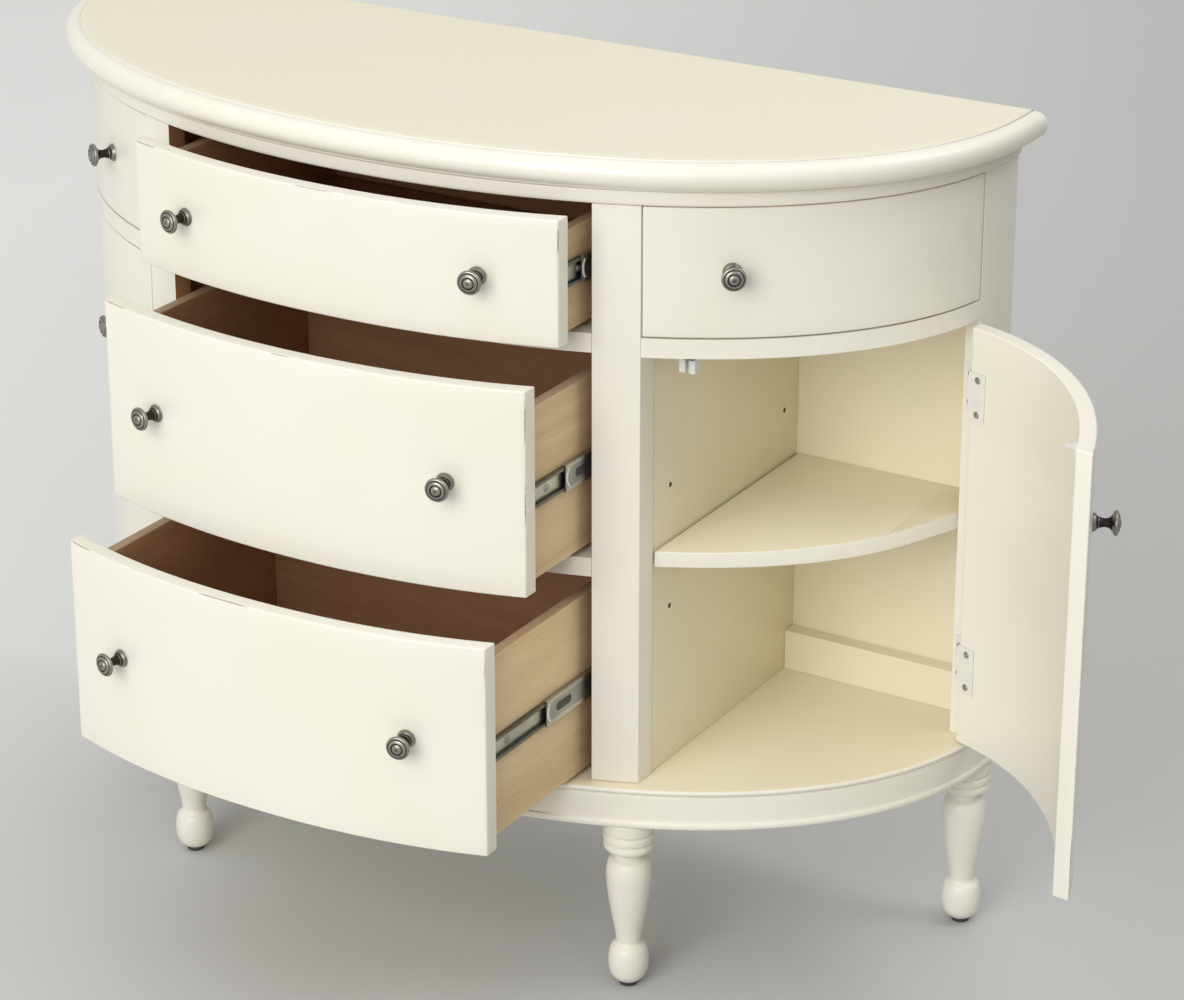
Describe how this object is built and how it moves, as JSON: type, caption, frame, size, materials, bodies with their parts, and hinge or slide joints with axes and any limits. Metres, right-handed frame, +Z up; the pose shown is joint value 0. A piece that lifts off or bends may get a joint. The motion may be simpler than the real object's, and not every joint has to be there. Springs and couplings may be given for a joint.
{
  "type": "sideboard",
  "caption": "Half-moon sideboard on turned legs, with bowed drawers in the middle and a curved drawer over a curved door at each end, painted cream.",
  "frame": {"origin": "on the floor, under the middle of the piece as it is posed in the picture, with three drawers and one door open", "axes": "+Z up, -Y out of the bowed front, +X to the right as seen from the front"},
  "size_m": [1.3068, 0.5858, 0.884],
  "materials": {
    "cream_paint": "satin cream paint, rubbed through at edges",
    "pale_wood": "plain, lightly sealed",
    "knob_metal": "dark aged pewter",
    "slide_steel": "zinc plated",
    "catch_plastic": "plain",
    "hinge_paint": "painted over with the case"
  },
  "bodies": {
    "cabinet": {"back_panel": "cream_paint", "back_rail_left": "cream_paint", "back_rail_right": "cream_paint", "base_panel": "cream_paint", "catch_left": "catch_plastic", "catch_right": "catch_plastic", "divider_lower": "cream_paint", "divider_upper": "cream_paint", "door_left_lower_frame_leaf": "hinge_paint", "door_left_upper_frame_leaf": "hinge_paint", "door_right_lower_frame_leaf": "hinge_paint", "door_right_upper_frame_leaf": "hinge_paint", "end_stile_left": "cream_paint", "end_stile_right": "cream_paint", "front_stile_left": "cream_paint", "front_stile_right": "cream_paint", "leg_front_left": "cream_paint", "leg_front_right": "cream_paint", "leg_rear_left": "cream_paint", "leg_rear_right": "cream_paint", "partition_left": "cream_paint", "partition_right": "cream_paint", "shelf_left": "cream_paint", "shelf_right": "cream_paint", "side_deck_left": "cream_paint", "side_deck_right": "cream_paint", "sub_top": "cream_paint", "top_panel": "cream_paint"},
    "top_drawer": {"top_drawer_box": "pale_wood", "top_drawer_front": "cream_paint", "top_drawer_knob_left": "knob_metal", "top_drawer_knob_right": "knob_metal"},
    "top_drawer_slide_member_right": {"top_drawer_slide_right": "slide_steel"},
    "top_drawer_slide_member_left": {"top_drawer_slide_left": "slide_steel"},
    "middle_drawer": {"middle_drawer_box": "pale_wood", "middle_drawer_front": "cream_paint", "middle_drawer_knob_left": "knob_metal", "middle_drawer_knob_right": "knob_metal"},
    "middle_drawer_slide_member_right": {"middle_drawer_slide_right": "slide_steel"},
    "middle_drawer_slide_member_left": {"middle_drawer_slide_left": "slide_steel"},
    "bottom_drawer": {"bottom_drawer_box": "pale_wood", "bottom_drawer_front": "cream_paint", "bottom_drawer_knob_left": "knob_metal", "bottom_drawer_knob_right": "knob_metal"},
    "bottom_drawer_slide_member_right": {"bottom_drawer_slide_right": "slide_steel"},
    "bottom_drawer_slide_member_left": {"bottom_drawer_slide_left": "slide_steel"},
    "side_drawer_right": {"side_drawer_right_box": "pale_wood", "side_drawer_right_front": "cream_paint", "side_drawer_right_knob": "knob_metal"},
    "side_drawer_left": {"side_drawer_left_box": "pale_wood", "side_drawer_left_front": "cream_paint", "side_drawer_left_knob": "knob_metal"},
    "door_right": {"door_right_knob": "knob_metal", "door_right_lower_leaf": "hinge_paint", "door_right_panel": "cream_paint", "door_right_upper_leaf": "hinge_paint"},
    "door_left": {"door_left_knob": "knob_metal", "door_left_lower_leaf": "hinge_paint", "door_left_panel": "cream_paint", "door_left_upper_leaf": "hinge_paint"}
  },
  "joints": [
    {"name": "top_drawer_travel", "type": "slide", "parent": "cabinet", "child": "top_drawer", "axis": [0, -1, 0], "range_m": [-0.056, 0.204]},
    {"name": "top_drawer_slide_member_right_travel", "type": "slide", "parent": "cabinet", "child": "top_drawer_slide_member_right", "axis": [0, -1, 0], "range_m": [-0.02801, 0.10201]},
    {"name": "top_drawer_slide_member_left_travel", "type": "slide", "parent": "cabinet", "child": "top_drawer_slide_member_left", "axis": [0, -1, 0], "range_m": [-0.02801, 0.10201]},
    {"name": "middle_drawer_travel", "type": "slide", "parent": "cabinet", "child": "middle_drawer", "axis": [0, -1, 0], "range_m": [-0.1155, 0.1445]},
    {"name": "middle_drawer_slide_member_right_travel", "type": "slide", "parent": "cabinet", "child": "middle_drawer_slide_member_right", "axis": [0, -1, 0], "range_m": [-0.05776, 0.07226]},
    {"name": "middle_drawer_slide_member_left_travel", "type": "slide", "parent": "cabinet", "child": "middle_drawer_slide_member_left", "axis": [0, -1, 0], "range_m": [-0.05776, 0.07226]},
    {"name": "bottom_drawer_travel", "type": "slide", "parent": "cabinet", "child": "bottom_drawer", "axis": [0, -1, 0], "range_m": [-0.188, 0.072]},
    {"name": "bottom_drawer_slide_member_right_travel", "type": "slide", "parent": "cabinet", "child": "bottom_drawer_slide_member_right", "axis": [0, -1, 0], "range_m": [-0.09401, 0.03601]},
    {"name": "bottom_drawer_slide_member_left_travel", "type": "slide", "parent": "cabinet", "child": "bottom_drawer_slide_member_left", "axis": [0, -1, 0], "range_m": [-0.09401, 0.03601]},
    {"name": "side_drawer_right_travel", "type": "slide", "parent": "cabinet", "child": "side_drawer_right", "axis": [0, -1, 0], "range_m": [0, 0.18]},
    {"name": "side_drawer_left_travel", "type": "slide", "parent": "cabinet", "child": "side_drawer_left", "axis": [0, -1, 0], "range_m": [0, 0.18]},
    {"name": "door_right_hinge", "type": "hinge", "parent": "cabinet", "child": "door_right", "pos_m": [0.42338, 0.22348, 0.46], "axis": [0, 0, 1], "range_deg": [-82.5, 21.5]},
    {"name": "door_left_hinge", "type": "hinge", "parent": "cabinet", "child": "door_left", "pos_m": [-0.62418, 0.22348, 0.46], "axis": [0, 0, -1], "range_deg": [0, 104]}
  ],
  "couplings": [
    {"joint": "top_drawer_slide_member_right_travel", "follows": "top_drawer_travel", "ratio": 0.5},
    {"joint": "top_drawer_slide_member_left_travel", "follows": "top_drawer_travel", "ratio": 0.5},
    {"joint": "middle_drawer_slide_member_right_travel", "follows": "middle_drawer_travel", "ratio": 0.5},
    {"joint": "middle_drawer_slide_member_left_travel", "follows": "middle_drawer_travel", "ratio": 0.5},
    {"joint": "bottom_drawer_slide_member_right_travel", "follows": "bottom_drawer_travel", "ratio": 0.5},
    {"joint": "bottom_drawer_slide_member_left_travel", "follows": "bottom_drawer_travel", "ratio": 0.5}
  ]
}
